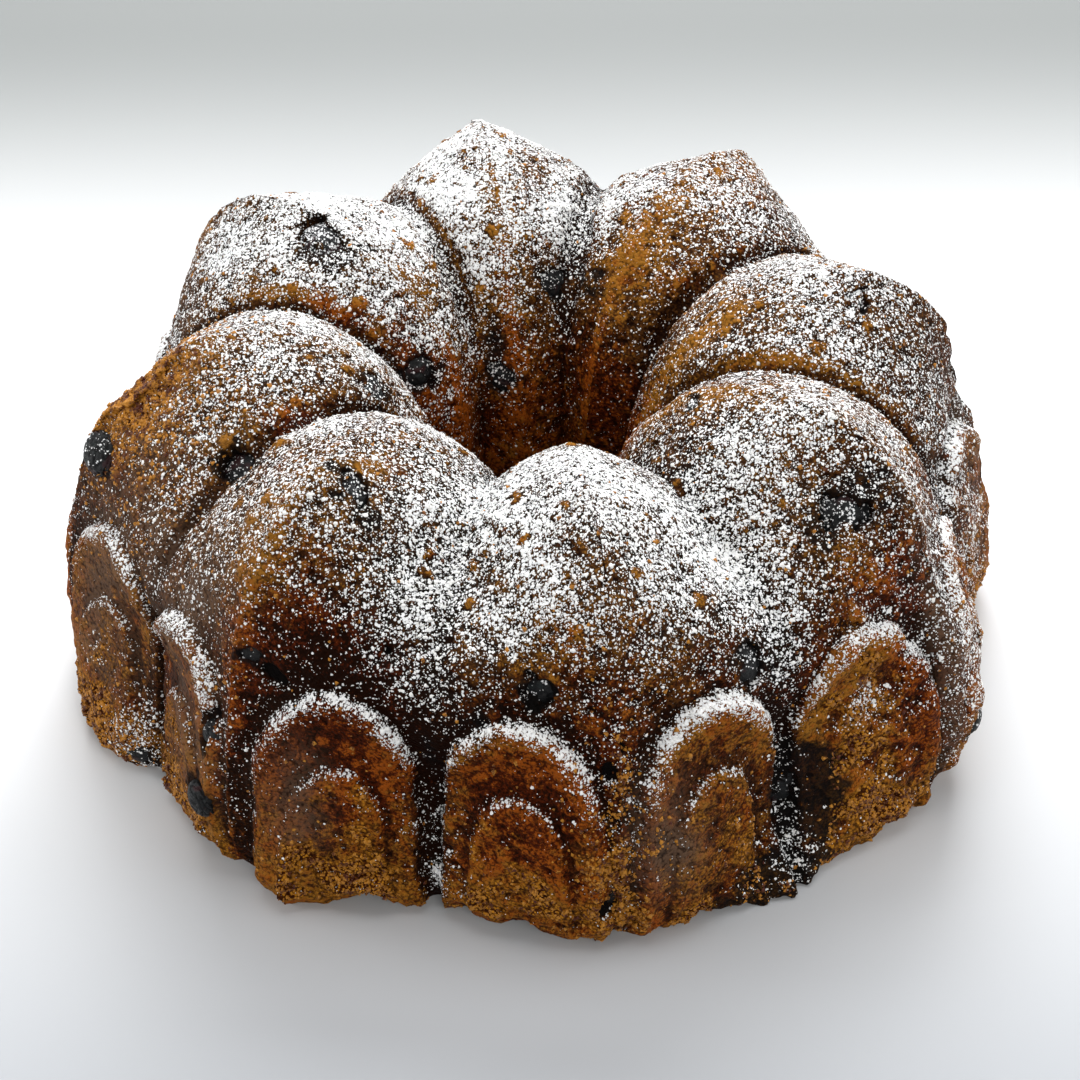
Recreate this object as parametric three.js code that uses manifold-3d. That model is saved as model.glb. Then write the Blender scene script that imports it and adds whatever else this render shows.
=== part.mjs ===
// A whole ring cake from a fluted tube tin, baked with blueberries and left uncut.
// Eight lobes lean round a central hole. Each lobe has a sharp ridge, and a crease parts it
// from the next. Round the foot stand sixteen double arches, two to a lobe, as stepped panels.
// Berries that reach the crust sit in pockets of their own.
// Units are millimetres, +Z is up, and the cake stands on z = 0 round the hole's axis.
import * as THREE from 'three';
import { mergeVertices } from 'three/addons/utils/BufferGeometryUtils.js';
import Module from 'manifold-3d';

const wasm = await Module();
wasm.setup();

// ---------------------------------------------------------------- driving dimensions
const lobeCount = 8;
const lobeAngle = (2 * Math.PI) / lobeCount;
const frontRidgeAngle = THREE.MathUtils.degToRad(-80.3);

// Section through a ridge and section through a crease, as [radius, height], both running
// from the hole's foot, up over the crown and down to the outer foot.
const ridgeSection = [
  [22.5, 0], [22.5, 33], [24.2, 57], [30.2, 75], [40.7, 87.5], [55, 95],
  [72.5, 97.5], [88, 92], [100.6, 76], [108.4, 51.7], [113.3, 23], [110, 0],
];
const creaseSection = [
  [27, 0], [27, 31], [27.5, 53], [31.4, 68], [39.6, 79], [52.8, 86.3],
  [68.2, 85.3], [82.5, 76], [93.5, 60], [99.5, 40.7], [102.3, 19.8], [103.4, 0],
];
const spans = ridgeSection.length - 1;

// How full a lobe is between ridge and crease, at places along the section in spans:
// under 1 is a narrow rib with hollow flanks, over 1 a rounded lobe.
const fullness = [
  [0, 0.6], [2.5, 0.8], [4.5, 1.5], [8, 1.25], [8.8, 0.75], [11, 0.65],
];

// The dough rose unevenly: each ridge's lean outwards and its rise, front lobe first.
const ridgeLean = [0, 0, -2.2, 0, 1.1, 0, 3.1, 2.7];
const ridgeRise = [0, 0, 0, 0, 2.1, 1.1, 0, 0];

// The double arches. Each is widest at its foot and round at its head, and its face's radius
// is given at the top and just above the foot, where the crust tucks in. The middle of a
// face stands out from its edges by the crown.
const archOffset = 0.25;          // of a lobe, from the ridge to an arch's middle
const archSetBack = 89;           // radius of the arch blocks' hidden backs
const footTuck = { height: 9.5, depth: 4.8 };
const arches = [
  { footHalfWidth: 19.6, headRadius: 17.3, top: 62.7, faceTop: 106.5, faceFoot: 111.1, crown: 1.5, headSteps: 4 },
  { footHalfWidth: 13.6, headRadius: 11.9, top: 39.6, faceTop: 110.9, faceFoot: 112.8, crown: 1.0, headSteps: 3 },
];

// The berries in the crust: [lobe place, section place, radius, how far it stands proud].
// The lobe place counts lobes anticlockwise from the front ridge, and the section place
// runs from 0 at the hole's foot to 1 at the outer foot.
const berryGap = 0.35;
const berries = [
  [5.12, 0.48, 6.0, 1.2], [6.33, 0.37, 4.4, 1.0], [5.42, 0.29, 4.3, 1.2], [4.33, 0.20, 4.6, 1.2],
  [6.48, 0.60, 4.8, 1.6], [7.10, 0.56, 5.6, 1.0], [6.10, 0.71, 5.2, 2.2], [7.03, 0.76, 4.2, 0.8],
  [7.78, 0.735, 5.8, 1.2], [6.84, 0.845, 4.2, 1.2], [6.87, 0.915, 4.6, 1.4], [6.62, 0.93, 4.0, 1.4],
  [3.56, 0.335, 4.4, 1.2], [0.80, 0.41, 5.0, 0.9], [0.78, 0.64, 6.2, 1.0], [1.84, 0.57, 4.4, 0.8],
  [0.40, 0.725, 5.4, 1.2], [0.50, 0.90, 6.0, 5.0], [1.10, 0.925, 4.2, 1.4], [7.97, 0.935, 3.5, 1.2],
  [2.30, 0.66, 5.2, 1.2], [2.72, 0.86, 4.8, 1.2], [3.24, 0.74, 5.8, 1.2], [4.28, 0.86, 4.4, 1.2],
  [5.50, 0.88, 5.2, 3.0],
];

// ---------------------------------------------------------------- the lobes' form
const toCurve = (points) => new THREE.SplineCurve(points.map(([r, z]) => new THREE.Vector2(r, z)));
const ridgeCurve = toCurve(ridgeSection);
const creaseCurve = toCurve(creaseSection);

function fullnessAt(place) {
  const next = Math.max(1, fullness.findIndex(([at]) => at >= place));
  const [fromPlace, from] = fullness[next - 1];
  const [toPlace, to] = fullness[next];
  return THREE.MathUtils.mapLinear(place, fromPlace, toPlace, from, to);
}

function onCake(lobe, radius, height) {
  const angle = frontRidgeAngle + lobe * lobeAngle;
  return new THREE.Vector3(radius * Math.cos(angle), radius * Math.sin(angle), height);
}

// A point of the crust without its arches. lobe counts lobes from the front ridge, and
// place counts spans along the section.
function crustPoint(lobe, place) {
  const nearest = Math.round(lobe);
  const towardsCrease = Math.abs(lobe - nearest) * 2;
  const share = Math.pow(towardsCrease, fullnessAt(place));
  const ridge = ridgeCurve.getPoint(place / spans);
  const crease = creaseCurve.getPoint(place / spans);
  const index = ((nearest % lobeCount) + lobeCount) % lobeCount;
  const { lerp, smoothstep } = THREE.MathUtils;
  const leaning = smoothstep(place, 4, 7) * (1 - smoothstep(place, 8.5, 11)) * (1 - share);
  const rising = smoothstep(place, 3, 5) * (1 - smoothstep(place, 7.5, 9.5)) * (1 - share);
  const radius = lerp(ridge.x, crease.x, share) + ridgeLean[index] * leaning;
  const height = lerp(ridge.y, crease.y, share) + ridgeRise[index] * rising;
  return onCake(lobe, radius, height);
}

// ---------------------------------------------------------------- meshes and booleans
// Rings of points joined side by side. Each ring closes on itself, and the first and last
// ring are joined to each other or capped.
function ringsGeometry(rings, joinEnds) {
  const size = rings[0].length;
  const index = [];
  const last = joinEnds ? rings.length : rings.length - 1;
  for (let i = 0; i < last; i += 1) {
    const here = i * size;
    const there = ((i + 1) % rings.length) * size;
    for (let j = 0; j < size; j += 1) {
      const k = (j + 1) % size;
      index.push(here + j, here + k, there + k, here + j, there + k, there + j);
    }
  }
  if (!joinEnds) {
    const end = (rings.length - 1) * size;
    for (let j = 1; j < size - 1; j += 1) {
      index.push(0, j + 1, j);
      index.push(end, end + j, end + j + 1);
    }
  }
  const geometry = new THREE.BufferGeometry();
  const positions = rings.flat().flatMap((point) => point.toArray());
  geometry.setAttribute('position', new THREE.Float32BufferAttribute(positions, 3));
  geometry.setIndex(index);
  return geometry;
}

function toSolid(geometry) {
  const bare = geometry.clone();
  bare.deleteAttribute('normal');
  bare.deleteAttribute('uv');
  const merged = mergeVertices(bare, 1e-4);
  return new wasm.Manifold(new wasm.Mesh({
    numProp: 3,
    vertProperties: new Float32Array(merged.attributes.position.array),
    triVerts: new Uint32Array(merged.index.array),
  }));
}

function toGeometry(solid) {
  const mesh = solid.getMesh();
  const geometry = new THREE.BufferGeometry();
  geometry.setAttribute('position', new THREE.BufferAttribute(mesh.vertProperties, 3));
  geometry.setIndex(new THREE.BufferAttribute(mesh.triVerts, 1));
  geometry.computeVertexNormals();
  return geometry;
}

// ---------------------------------------------------------------- the lobed ring
// One closed section for each column, swept round the hole, so the first and last join.
// The rows lie closer over the crown than in the hole and behind the arches.
function lobedRing() {
  const columnsPerLobe = 8;
  const rowPlaces = [0, 1, 2];
  for (let place = 2.5; place <= 9; place += 0.5) {
    rowPlaces.push(place);
  }
  rowPlaces.push(10, spans);
  const sections = [];
  for (let column = 0; column < lobeCount * columnsPerLobe; column += 1) {
    sections.push(rowPlaces.map((place) => crustPoint(column / columnsPerLobe, place)));
  }
  return toSolid(ringsGeometry(sections, true));
}

// ---------------------------------------------------------------- the double arches
function faceRadius(arch, z) {
  const { height, depth } = footTuck;
  const low = Math.max(0, 1 - z / height);
  const tuck = depth * (1 - Math.sqrt(1 - low * low));
  const up = Math.max(0, (z - height) / (arch.top - height));
  return THREE.MathUtils.lerp(arch.faceFoot, arch.faceTop, up) - tuck;
}

function halfWidthAt(arch, z) {
  const spring = arch.top - arch.headRadius;
  if (z < spring) {
    return THREE.MathUtils.mapLinear(z, 0, spring, arch.footHalfWidth, arch.headRadius);
  }
  return Math.sqrt(Math.max(0, arch.headRadius ** 2 - (z - spring) ** 2));
}

// A block with a round-headed face, built of level slices from the foot to the arch's top.
function archBlock(arch, middle) {
  const spring = arch.top - arch.headRadius;
  const levels = [0, footTuck.height / 3, footTuck.height, spring];
  const lastTurn = 0.48 * Math.PI;
  for (let step = 1; step <= arch.headSteps; step += 1) {
    levels.push(spring + arch.headRadius * Math.sin((lastTurn * step) / arch.headSteps));
  }
  const slices = levels.map((z) => {
    const halfWidth = halfWidthAt(arch, z);
    const radius = faceRadius(arch, z);
    const edge = radius - arch.crown * Math.min(1, halfWidth / arch.headRadius);
    const corners = [
      [archSetBack, -halfWidth], [edge, -halfWidth], [radius, 0],
      [edge, halfWidth], [archSetBack, halfWidth],
    ];
    return corners.map(([out, along]) => new THREE.Vector3(out, along, z));
  });
  const geometry = ringsGeometry(slices, false);
  geometry.rotateZ(frontRidgeAngle + middle * lobeAngle);
  return toSolid(geometry);
}

// ---------------------------------------------------------------- the berries
// The outermost surface under a berry: an arch's face where one covers the place, and the
// lobe itself elsewhere, with the direction that faces out of the cake.
function berryPlace([lobe, share, radius, proud]) {
  const place = share * spans;
  const step = 0.02;
  const point = crustPoint(lobe, place);
  const across = crustPoint(lobe + step, place).sub(crustPoint(lobe - step, place));
  const along = crustPoint(lobe, place + step).sub(crustPoint(lobe, place - step));
  const outward = across.cross(along).negate().normalize();
  const pointRadius = Math.hypot(point.x, point.y);
  const fromArch = (Math.abs(lobe - Math.round(lobe)) - archOffset) * lobeAngle * pointRadius;
  for (const arch of pointRadius > archSetBack ? arches : []) {
    if (point.z < arch.top && Math.abs(fromArch) < halfWidthAt(arch, point.z)) {
      const reach = faceRadius(arch, point.z) - arch.crown / 2;
      point.copy(onCake(lobe, Math.max(pointRadius, reach), point.z));
      outward.copy(onCake(lobe, 1, 0));
    }
  }
  return { centre: point.addScaledVector(outward, proud - radius), outward, radius };
}

function berryGeometry({ centre, outward, radius }, gap) {
  const geometry = new THREE.SphereGeometry(radius + gap, 7, 5);
  const upright = new THREE.Vector3(0, 1, 0);
  geometry.applyQuaternion(new THREE.Quaternion().setFromUnitVectors(upright, outward));
  geometry.translate(centre.x, centre.y, centre.z);
  return geometry;
}

// ---------------------------------------------------------------- the cake put together
function crustMaterial() {
  return new THREE.MeshStandardMaterial({ color: 0x8f5a2b, roughness: 0.75, metalness: 0 });
}

function berryMaterial() {
  return new THREE.MeshStandardMaterial({ color: 0x1d2226, roughness: 0.45, metalness: 0 });
}

function namedMesh(name, solid, material) {
  const mesh = new THREE.Mesh(toGeometry(solid), material);
  mesh.name = name;
  return mesh;
}

let cakeSolid = lobedRing();
for (let lobe = 0; lobe < lobeCount; lobe += 1) {
  for (const offset of [archOffset, 1 - archOffset]) {
    for (const arch of arches) {
      cakeSolid = cakeSolid.add(archBlock(arch, lobe + offset));
    }
  }
}

const cake = new THREE.Group();
berries.forEach((berry, index) => {
  const place = berryPlace(berry);
  const name = `berry_${String(index + 1).padStart(2, '0')}`;
  cakeSolid = cakeSolid.subtract(toSolid(berryGeometry(place, berryGap)));
  cake.add(namedMesh(name, toSolid(berryGeometry(place, 0)), berryMaterial()));
});
cake.add(namedMesh('cake', cakeSolid, crustMaterial()));

export default cake;
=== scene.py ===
import itertools
import math

import bmesh
import bpy
import numpy as np
from mathutils import Matrix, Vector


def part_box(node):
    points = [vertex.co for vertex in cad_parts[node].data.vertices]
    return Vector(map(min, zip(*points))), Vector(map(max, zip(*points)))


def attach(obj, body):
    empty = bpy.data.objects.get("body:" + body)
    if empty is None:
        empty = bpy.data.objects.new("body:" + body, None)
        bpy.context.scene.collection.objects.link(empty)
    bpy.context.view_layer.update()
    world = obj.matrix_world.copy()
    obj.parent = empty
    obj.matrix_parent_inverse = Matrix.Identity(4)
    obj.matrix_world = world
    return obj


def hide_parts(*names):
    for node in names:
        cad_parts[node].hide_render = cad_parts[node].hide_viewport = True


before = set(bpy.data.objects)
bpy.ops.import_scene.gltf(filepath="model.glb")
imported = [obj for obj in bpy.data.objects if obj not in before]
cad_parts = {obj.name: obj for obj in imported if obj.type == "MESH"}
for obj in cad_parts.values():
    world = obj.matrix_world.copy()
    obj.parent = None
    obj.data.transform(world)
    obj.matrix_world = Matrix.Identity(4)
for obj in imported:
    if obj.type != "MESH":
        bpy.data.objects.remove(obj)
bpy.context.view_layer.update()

# THE TABLE AND THE LIGHT. The cake stands on a seamless white table. Soft daylight comes from
# above and behind it, so its crown is bright, its front walls are in half shade, and a faint
# shadow lies in front of its foot. None of this is part of the cake.
MM = 0.001
CAMERA_DISTANCE = 0.7629
CAMERA_ELEVATION = math.radians(41.03)
CAMERA_ROLL = -0.0104
LOOK_AT = np.array([0.0006, 0.0, 0.0269])
SENSOR_WIDTH, FOCAL_LENGTH = 36.0, 101.86
TABLE_HALF = 4.0
# The table's paint beside the cake, in front of it and behind it, and the light of the room.
# In front of the cake and far behind it the paint is darker: painted shade that deepens the shadow in
# front and makes the light fall off behind.
TABLE_BESIDE, TABLE_FRONT_PAINTED_SHADE = (0.84, 0.85, 0.86), (0.31, 0.33, 0.36)
TABLE_BEHIND_PAINTED_SHADE = (0.235, 0.245, 0.242)
ROOM_COLOUR, ROOM_STRENGTH = (0.95, 0.98, 1.0, 1.0), 0.14
LAMPS_AIM = np.array([0.0, 0.0, 0.05])


def placed(across, up, back, at):
    """The matrix of a camera or a lamp at a place, from its three axes."""
    return Matrix([[across[i], up[i], back[i], at[i]] for i in range(3)] + [[0, 0, 0, 1]])


bpy.context.scene.view_settings.view_transform = "Standard"

lens = bpy.data.cameras.new("camera")
lens.sensor_width, lens.lens = SENSOR_WIDTH, FOCAL_LENGTH
camera = bpy.data.objects.new("camera", lens)
bpy.context.scene.collection.objects.link(camera)
bpy.context.scene.camera = camera
camera_at = CAMERA_DISTANCE * np.array([0.0, -math.cos(CAMERA_ELEVATION), math.sin(CAMERA_ELEVATION)])
ahead = (LOOK_AT - camera_at) / np.linalg.norm(LOOK_AT - camera_at)
level = np.cross(ahead, [0.0, 0.0, 1.0])
level = level / np.linalg.norm(level)
upward = np.cross(level, ahead)
right = level * math.cos(CAMERA_ROLL) + upward * math.sin(CAMERA_ROLL)
up = upward * math.cos(CAMERA_ROLL) - level * math.sin(CAMERA_ROLL)
camera.matrix_world = placed(right, up, -ahead, camera_at)


class Wire:
    """One value, colour or vector in a material; sums on it add the nodes they need."""

    def __init__(self, tree, socket=None):
        self.tree, self.socket = tree, socket

    def node(self, kind, settings=None, inputs=None, out=0):
        """Adds one node: first its settings, then the values or links of its sockets."""
        made = self.tree.nodes.new("ShaderNode" + kind)
        for name, value in (settings or {}).items():
            setattr(made, name, value)
        for name, value in (inputs or {}).items():
            if isinstance(value, Wire):
                self.tree.links.new(value.socket, made.inputs[name])
            else:
                made.inputs[name].default_value = value
        return Wire(self.tree, made.outputs[out])

    def maths(self, operation, first, second=0.0):
        return self.node("Math", {"operation": operation}, {0: first, 1: second})

    def __add__(self, other):
        return self.maths("ADD", self, other)

    __radd__ = __add__

    def __sub__(self, other):
        return self.maths("SUBTRACT", self, other)

    def __rsub__(self, other):
        return self.maths("SUBTRACT", other, self)

    def __mul__(self, other):
        return self.maths("MULTIPLY", self, other)

    __rmul__ = __mul__

    def also(self, out):
        """Another output of the node that this value comes from."""
        return Wire(self.tree, self.socket.node.outputs[out])

    def step(self, low, high):
        """0 below low, 1 above high, and a smooth rise between them."""
        settings = {"interpolation_type": "SMOOTHSTEP"}
        return self.node("MapRange", settings, {"Value": self, "From Min": low, "From Max": high})

    def blend(self, first, second):
        """Goes from the first colour to the second one as this value goes from 0 to 1."""
        colours = [c if isinstance(c, Wire) else (*c, 1.0) for c in (first, second)]
        return self.node("Mix", {"data_type": "RGBA"}, {0: self, 6: colours[0], 7: colours[1]}, 2)

    def noise(self, where, size, detail=2.0, roughness=0.5, distortion=0.0):
        """Soft mottling whose blotches are about size across, in metres."""
        inputs = {"Vector": where, "Scale": 1.0 / size, "Detail": detail, "Roughness": roughness,
                  "Distortion": distortion}
        return self.node("TexNoise", {}, inputs)


def srgb(red, green, blue):
    """A colour as it is seen on a screen, from 0 to 255, turned into light."""
    return tuple(((c / 255 + 0.055) / 1.055) ** 2.4 if c > 10 else c / 255 / 12.92
                 for c in (red, green, blue))


def new_material(name, sockets):
    """A material whose main shader has these fixed values on its own sockets."""
    material = bpy.data.materials.new(name)
    material.use_nodes = True
    shader = material.node_tree.nodes["Principled BSDF"]
    for socket, value in sockets.items():
        shader.inputs[socket].default_value = value
    return material, shader, Wire(material.node_tree)


def feed(shader, wires):
    """Links each value to the shader's socket of that name."""
    for socket, wire in wires.items():
        wire.tree.links.new(wire.socket, shader.inputs[socket])


def new_object(name, points, faces):
    """A mesh object from arrays of points and of faces that all have as many corners."""
    mesh = bpy.data.meshes.new(name)
    mesh.vertices.add(len(points))
    mesh.vertices.foreach_set("co", np.ascontiguousarray(points, np.float32).ravel())
    mesh.loops.add(faces.size)
    mesh.loops.foreach_set("vertex_index", np.ascontiguousarray(faces, np.int32).ravel())
    mesh.polygons.add(len(faces))
    starts = np.arange(0, faces.size, faces.shape[1], dtype=np.int32)
    mesh.polygons.foreach_set("loop_start", starts)
    mesh.update(calc_edges=True)
    mesh.shade_smooth()
    made = bpy.data.objects.new(name, mesh)
    bpy.context.scene.collection.objects.link(made)
    return made


table_corners = np.array([[-1, -1, 0], [1, -1, 0], [1, 1, 0], [-1, 1, 0]]) * TABLE_HALF
table = new_object("table_top", table_corners, np.array([[0, 1, 2, 3]]))
table_paint, shader, wire = new_material("white_table", {"Roughness": 0.6, "Specular IOR Level": 0.2})
spot = wire.node("TexCoord", out=3)
depth = wire.node("SeparateXYZ", {}, {0: spot}, 1)
# Painted shade: the table is painted darker in front of the cake and far behind it.
colour = depth.step(0.06, -0.26).blend(TABLE_BESIDE, TABLE_FRONT_PAINTED_SHADE)
feed(shader, {"Base Color": depth.step(0.07, 0.3).blend(colour, TABLE_BEHIND_PAINTED_SHADE)})
table.data.materials.append(table_paint)

world = bpy.data.worlds.new("daylight")
bpy.context.scene.world = world
world.use_nodes = True
world.node_tree.nodes["Background"].inputs["Color"].default_value = ROOM_COLOUR
world.node_tree.nodes["Background"].inputs["Strength"].default_value = ROOM_STRENGTH


def soft_light(name, at, size, watts, colour=(1.0, 1.0, 1.0)):
    """A square soft light that faces the cake."""
    lamp = bpy.data.lights.new(name, "AREA")
    lamp.shape, lamp.size, lamp.energy, lamp.color = "SQUARE", size, watts, colour
    made = bpy.data.objects.new(name, lamp)
    bpy.context.scene.collection.objects.link(made)
    away = np.array(at, float) - LAMPS_AIM
    away = away / np.linalg.norm(away)
    side = np.cross([0.0, 0.0, 1.0], away)
    side = side / np.linalg.norm(side)
    over = np.cross(away, side)
    made.matrix_world = placed(side, over, away, at)
    made.visible_camera = False


soft_light("window_behind", (0.05, 1.15, 1.1), 1.1, 33.0, (0.98, 0.99, 1.0))
soft_light("ceiling", (0.0, 0.1, 1.7), 1.2, 14.0)
soft_light("left_wall", (-1.3, 0.0, 0.5), 1.0, 8.0)
soft_light("right_wall", (1.3, 0.1, 0.5), 1.0, 7.0)
soft_light("front_fill", (0.2, -1.5, 1.0), 1.0, 12.0, (1.0, 0.975, 0.94))

# THE CAKE'S FORM. The cake is one ring of butter batter, baked upside down in a fluted tin and
# turned out, so its outside is a cast of the tin: eight lobes with sharp ridges, a crease
# between each two, and a stepped double arch on both sides of every ridge at the foot.
LOBES = 8
LOBE_ANGLE = 2 * math.pi / LOBES
FRONT_RIDGE = math.radians(-80.6)
# Radius and height of the section through a ridge and through a crease, from the hole's foot
# over the crown to the outer foot.
RIDGE = MM * np.array([
    (20.5, 0), (20.5, 33), (21.6, 54), (28.2, 73), (40.7, 87.5), (55, 95),
    (72.5, 97.5), (88, 92.5), (100.8, 78), (108.4, 51.7), (112.6, 23), (110, 0)])
CREASE = MM * np.array([
    (27, 0), (27, 31), (27.5, 53), (31.4, 68), (39.6, 79), (52.8, 86.3),
    (68.2, 85.3), (82.5, 77), (93.8, 61), (97.0, 41.5), (99.0, 20.0), (100.5, 0)])
SPANS = len(RIDGE) - 1
# Each ridge's turn, lean outwards and rise, from the front lobe anticlockwise.
TURN = np.radians([-0.4, 1.6, 0, 0, 0, 0, 0, -2.2])
LEAN = MM * np.array([0, 0.8, -2.2, 0, 1.1, 0, 2.0, 1.6])
RISE = MM * np.array([0, 0, 0, 0, 1.2, 1.1, 0, 0])
# How much lower each crease is on the crown, how much fuller on the wall, and how far it is
# turned, starting with the crease to the right of the front lobe.
CREASE_DROP = MM * np.array([6, 0, 0, 0, 0, 0, -1.5, 3.5])
CREASE_FILL = MM * np.array([5.5, 0, 0, 0, 0, 0, 6.0, 5.5])
CREASE_TURN = np.radians([0, 0, 0, 0, -3.0, 0, 0, 0])
# How round a ridge is, as a share of the flank, and how far a flank bulges, by spans.
FORM_AT = (0, 3.0, 4.5, 6.0, 7.2, 8.2, 11)
ROUND = (0.25, 0.22, 0.4, 0.3, 0.14, 0.06, 0.05)
BULGE = (0, 0, 1.2 * MM, 1.0 * MM, 0.5 * MM, 0.2 * MM, 0)
# Half width at the foot and at the spring, height of the head, top, and step, for both arches.
OUTER_ARCH = MM * np.array([19.8, 18.2, 24.0, 60.5, 3.7])
INNER_ARCH = MM * np.array([12.8, 11.0, 16.0, 41.5, 1.8])
ARCH_EDGE = 2.0 * MM
ARCH_SHIFT = 1.0 * MM
ARCH_WOBBLE = 0.8 * MM
# How high the outer and the inner step stand on each lobe, as a share of the usual.
STEP_SHARE = np.array([1, 0.75, 1.0, 1.2, 1, 0.7, 0.9, 1])
INNER_SHARE = np.array([1, 0.3, 0.5, 1, 1, 1, 1.2, 1])
# How much rounder or sharper each ridge is.
SOFTER = np.array([1, 1, 1, 1.3, 3.2, 1.2, 1.2, 0.9])
# How the foot is rounded in, and the place where the section passes to the ring's outer side.
TUCK_HEIGHT, TUCK_DEPTH = 9.5 * MM, 4.8 * MM
OUTSIDE_FROM = 7


def smooth(low, high, value):
    """0 on low's side, 1 on high's side, and a smooth rise between them."""
    share = np.clip((value - low) / (high - low), 0, 1)
    return share * share * (3 - 2 * share)


def along_curve(points, place):
    """A point on the smooth curve through the points, place spans from its start."""
    place = np.clip(place, 0, SPANS)
    start = np.minimum(place.astype(int), SPANS - 1)
    part = (place - start)[..., None]
    before, here = points[np.maximum(start - 1, 0)], points[start]
    there, after = points[start + 1], points[np.minimum(start + 2, SPANS)]
    slope_here, slope_there = (there - before) / 2, (after - here) / 2
    return ((2 * here - 2 * there + slope_here + slope_there) * part ** 3
            + (3 * there - 3 * here - 2 * slope_here - slope_there) * part ** 2
            + slope_here * part + here)


def hashed(cell, seed):
    """A number from 0 to 1 for every whole-numbered cell, the same each time."""
    x, y, z = (cell[..., i].astype(np.uint32) for i in range(3))
    mixed = x * np.uint32(374761393) ^ y * np.uint32(668265263) ^ z * np.uint32(2654435761)
    mixed = mixed ^ np.uint32(seed * 7919 + 13)
    mixed = (mixed ^ (mixed >> np.uint32(15))) * np.uint32(2246822519)
    mixed = (mixed ^ (mixed >> np.uint32(13))) * np.uint32(3266489917)
    return (mixed ^ (mixed >> np.uint32(16))) / 4294967296.0


TURNED = np.array([[0.36, 0.48, -0.8], [-0.8, 0.6, 0.00], [0.48, 0.64, 0.6]])


def mottle(points, size, seed, octaves=1):
    """Soft unevenness from about -1 to 1, with bumps of this size in metres."""
    total = np.zeros(points.shape[:-1])
    for octave in range(octaves):
        where = points @ TURNED / size * 2 ** octave + seed
        cell = np.floor(where)
        part = where - cell
        part = part * part * (3 - 2 * part)
        cell = cell.astype(np.int64)
        value = 0
        for corner in itertools.product((0, 1), repeat=3):
            share = np.prod(np.where(corner, part, 1 - part), axis=-1)
            value = value + share * hashed(cell + corner, seed + octave)
        total += (2 * value - 1) * 0.5 ** octave
    return total


def pits(points, spacing, share, seed):
    """0 to 1, deepest in the middle of round pits. A share of the cells have one."""
    bend = np.stack([mottle(points, spacing * 0.45, seed + i) for i in (6, 7, 8)], -1)
    where = points @ TURNED / spacing + seed + 0.22 * bend
    cell = np.floor(where).astype(np.int64)
    deepest = np.zeros(points.shape[:-1])
    for step in itertools.product((-1, 0, 1), repeat=3):
        home = cell + step
        centre = home + np.stack([hashed(home, seed + i) for i in (1, 2, 3)], -1)
        away = np.sum((centre - where) ** 2, axis=-1)
        wide = 0.3 + 0.35 * hashed(home, seed + 4)
        deep = np.where(hashed(home, seed + 5) < share, 1 - away / wide ** 2, 0)
        deepest = np.maximum(deepest, deep)
    return deepest


def arch_share(arch, across, height):
    """1 on an arch's face and 0 outside it, with a soft edge, and how far inside a point lies."""
    foot, head, rise, top = arch[:4]
    above = np.maximum(height - top + rise, 0)
    half = head + (foot - head) * np.clip((top - rise - height) / (top - rise), 0, 1)
    reach = np.hypot(across / half, above / rise) + 1e-6
    steepness = np.hypot(across / half ** 2, above / rise ** 2) / reach + 1e-6
    inside = (1 - reach) / steepness
    return smooth(-0.4 * ARCH_EDGE, 0.6 * ARCH_EDGE, inside), inside


def upright(section, angle):
    """Points in space for a section's radii and heights, stood at an angle from the front."""
    angle = angle + FRONT_RIDGE
    radius = section[..., 0]
    return np.stack([radius * np.cos(angle), radius * np.sin(angle), section[..., 1]], -1)


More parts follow.
